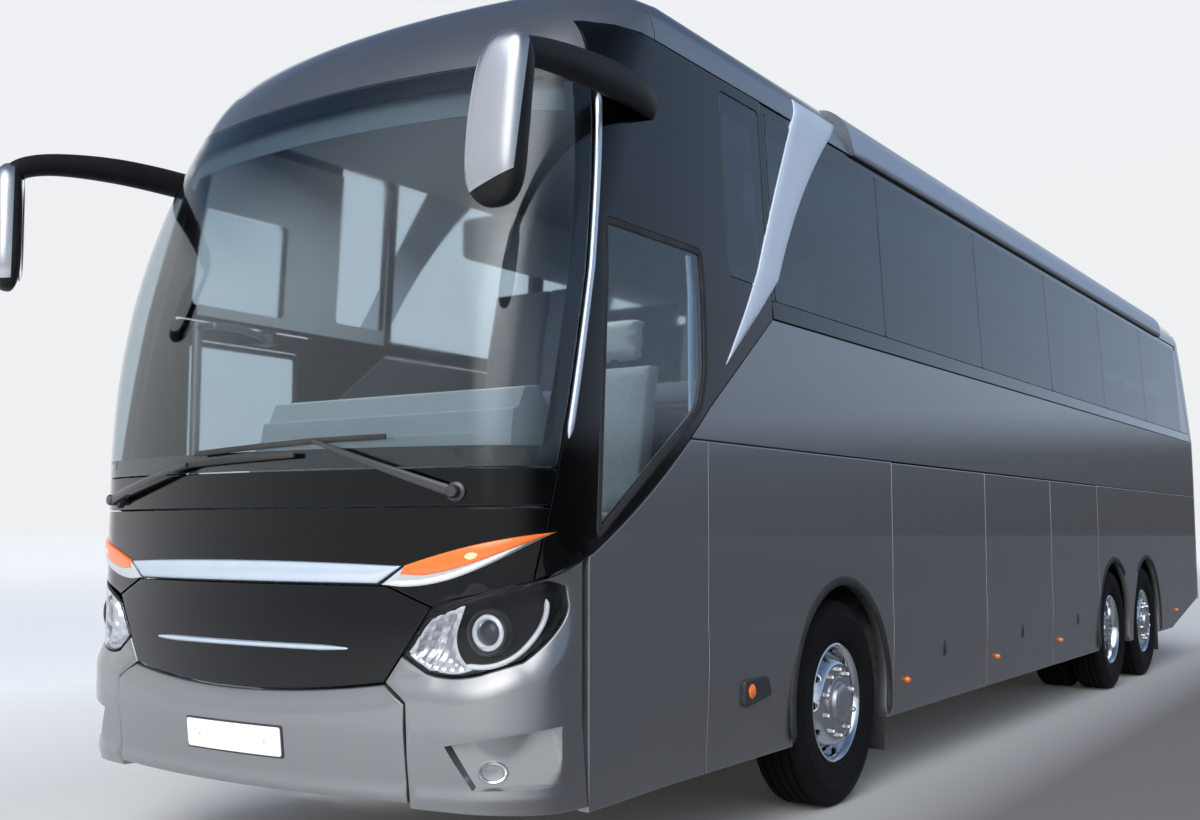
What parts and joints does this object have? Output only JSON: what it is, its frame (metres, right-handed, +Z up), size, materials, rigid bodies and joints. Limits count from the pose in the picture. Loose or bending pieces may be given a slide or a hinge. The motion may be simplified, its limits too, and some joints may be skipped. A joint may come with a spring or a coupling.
{
  "type": "three-axle touring coach bus",
  "caption": "High-floor touring coach with a raked nose, dark glazed sides, outward-swinging doors, luggage flaps, twin drive wheels and a tag axle.",
  "frame": {"origin": "on the ground under the middle of the overall length and width", "axes": "+X forward, +Y to the left side, +Z up"},
  "size_m": [13.6035, 2.92, 3.8798],
  "materials": {
    "dark_paint": "metallic gloss",
    "silver_paint": "metallic gloss",
    "black_gloss": "high gloss",
    "tinted_glass": "tinted",
    "clear_glass": "clear",
    "bright_trim": "satin",
    "lamp_lens": "clear lens",
    "orange_lens": "translucent gloss",
    "red_lens": "translucent gloss",
    "floor": "matt vinyl",
    "frame_metal": "satin",
    "cast": "raw",
    "alloy": "polished",
    "tyre": "matt",
    "black_plastic": "grained",
    "grey_plastic": "grained",
    "seat_fabric": "woven",
    "mirror_shell": "metallic gloss"
  },
  "bodies": {
    "coach_body": {"headlamps": "lamp_lens", "indicators": "orange_lens", "brow_strip": "bright_trim", "grille": "black_gloss", "front_mask": "black_gloss", "front_bumper": "silver_paint", "windscreen": "clear_glass", "front_roof_cap": "dark_paint", "roof": "dark_paint", "skirt_left": "dark_paint", "skirt_right": "dark_paint", "side_wall_left": "dark_paint", "side_wall_right": "dark_paint", "cab_side_left": "black_gloss", "cab_side_right": "black_gloss", "glass_left": "tinted_glass", "glass_right": "tinted_glass", "pillar_strips": "bright_trim", "roof_coves": "bright_trim", "rear_window": "tinted_glass", "tail_lamps": "red_lens", "rear_wall": "dark_paint", "luggage_floor": "floor", "passenger_floor": "floor", "entrance_steps": "floor", "underframe": "frame_metal", "front_axle": "cast", "rear_axles": "cast", "dashboard": "grey_plastic", "driver_seat": "seat_fabric", "passenger_seats": "seat_fabric", "engine": "cast", "mirrors": "mirror_shell", "wipers": "black_plastic"},
    "knuckle_left": {"knuckle_left": "cast"},
    "knuckle_right": {"knuckle_right": "cast"},
    "wheel_front_left": {"tyre_front_left": "tyre", "rim_front_left": "alloy"},
    "wheel_front_right": {"tyre_front_right": "tyre", "rim_front_right": "alloy"},
    "wheels_drive_left": {"tyre_drive_left": "tyre", "rim_drive_left": "alloy"},
    "wheels_drive_right": {"tyre_drive_right": "tyre", "rim_drive_right": "alloy"},
    "wheel_tag_left": {"tyre_tag_left": "tyre", "rim_tag_left": "alloy"},
    "wheel_tag_right": {"tyre_tag_right": "tyre", "rim_tag_right": "alloy"},
    "steering_wheel": {"steering_wheel": "black_plastic"},
    "front_door_arm": {"front_door_arm": "frame_metal"},
    "front_door": {"front_door": "dark_paint"},
    "mid_door_arm": {"mid_door_arm": "frame_metal"},
    "mid_door": {"mid_door": "dark_paint"},
    "luggage_flap_left_1": {"luggage_flap_left_1": "dark_paint"},
    "luggage_flap_left_2": {"luggage_flap_left_2": "dark_paint"},
    "luggage_flap_left_3": {"luggage_flap_left_3": "dark_paint"},
    "luggage_flap_right_1": {"luggage_flap_right_1": "dark_paint"},
    "luggage_flap_right_2": {"luggage_flap_right_2": "dark_paint"},
    "engine_flap": {"engine_flap": "dark_paint"}
  },
  "joints": [
    {"name": "steer_left", "type": "hinge", "parent": "coach_body", "child": "knuckle_left", "pos_m": [3.62, 0.985, 0.525], "axis": [0, 0, 1], "range_deg": [-42, 42]},
    {"name": "spin_front_left", "type": "hinge", "parent": "knuckle_left", "child": "wheel_front_left", "pos_m": [3.62, 1.1, 0.525], "axis": [0, 1, 0], "continuous": true},
    {"name": "spin_drive_left", "type": "hinge", "parent": "coach_body", "child": "wheels_drive_left", "pos_m": [-2.46, 1.1, 0.525], "axis": [0, 1, 0], "continuous": true},
    {"name": "spin_tag_left", "type": "hinge", "parent": "coach_body", "child": "wheel_tag_left", "pos_m": [-3.81, 1.1, 0.525], "axis": [0, 1, 0], "continuous": true},
    {"name": "steer_right", "type": "hinge", "parent": "coach_body", "child": "knuckle_right", "pos_m": [3.62, -0.985, 0.525], "axis": [0, 0, 1], "range_deg": [-42, 42]},
    {"name": "spin_front_right", "type": "hinge", "parent": "knuckle_right", "child": "wheel_front_right", "pos_m": [3.62, -1.1, 0.525], "axis": [0, 1, 0], "continuous": true},
    {"name": "spin_drive_right", "type": "hinge", "parent": "coach_body", "child": "wheels_drive_right", "pos_m": [-2.46, -1.1, 0.525], "axis": [0, 1, 0], "continuous": true},
    {"name": "spin_tag_right", "type": "hinge", "parent": "coach_body", "child": "wheel_tag_right", "pos_m": [-3.81, -1.1, 0.525], "axis": [0, 1, 0], "continuous": true},
    {"name": "steering_wheel_turn", "type": "hinge", "parent": "coach_body", "child": "steering_wheel", "pos_m": [5.77, 0.72, 1.75], "axis": [-0.4226, 0, 0.9063], "range_deg": [-672, 672]},
    {"name": "front_door_swing", "type": "hinge", "parent": "coach_body", "child": "front_door_arm", "pos_m": [5.836, -1.155, 1.2], "axis": [0, 0, 1], "range_deg": [0, 150]},
    {"name": "front_door_leaf", "type": "hinge", "parent": "front_door_arm", "child": "front_door", "pos_m": [5.386, -1.155, 1.2], "axis": [0, 0, 1], "range_deg": [-150, 0]},
    {"name": "mid_door_swing", "type": "hinge", "parent": "coach_body", "child": "mid_door_arm", "pos_m": [-1.666, -1.155, 1.2], "axis": [0, 0, -1], "range_deg": [0, 150]},
    {"name": "mid_door_leaf", "type": "hinge", "parent": "mid_door_arm", "child": "mid_door", "pos_m": [-1.216, -1.155, 1.2], "axis": [0, 0, -1], "range_deg": [-150, 0]},
    {"name": "flap_left_1_lift", "type": "hinge", "parent": "coach_body", "child": "luggage_flap_left_1", "pos_m": [2.085, 1.275, 1.795], "axis": [1, 0, 0], "range_deg": [0, 85]},
    {"name": "flap_left_2_lift", "type": "hinge", "parent": "coach_body", "child": "luggage_flap_left_2", "pos_m": [0.43, 1.275, 1.795], "axis": [1, 0, 0], "range_deg": [0, 85]},
    {"name": "flap_left_3_lift", "type": "hinge", "parent": "coach_body", "child": "luggage_flap_left_3", "pos_m": [-1.13, 1.275, 1.795], "axis": [1, 0, 0], "range_deg": [0, 85]},
    {"name": "flap_right_1_lift", "type": "hinge", "parent": "coach_body", "child": "luggage_flap_right_1", "pos_m": [2.025, -1.275, 1.795], "axis": [-1, 0, 0], "range_deg": [0, 85]},
    {"name": "flap_right_2_lift", "type": "hinge", "parent": "coach_body", "child": "luggage_flap_right_2", "pos_m": [0.157, -1.275, 1.795], "axis": [-1, 0, 0], "range_deg": [0, 85]},
    {"name": "engine_flap_lift", "type": "hinge", "parent": "coach_body", "child": "engine_flap", "pos_m": [-6.8, 0, 1.88], "axis": [0, 1, 0], "range_deg": [0, 80]}
  ],
  "couplings": [
    {"joint": "steer_right", "follows": "steer_left", "ratio": 1},
    {"joint": "steering_wheel_turn", "follows": "steer_left", "ratio": 16},
    {"joint": "front_door_leaf", "follows": "front_door_swing", "ratio": -1},
    {"joint": "mid_door_leaf", "follows": "mid_door_swing", "ratio": -1}
  ]
}
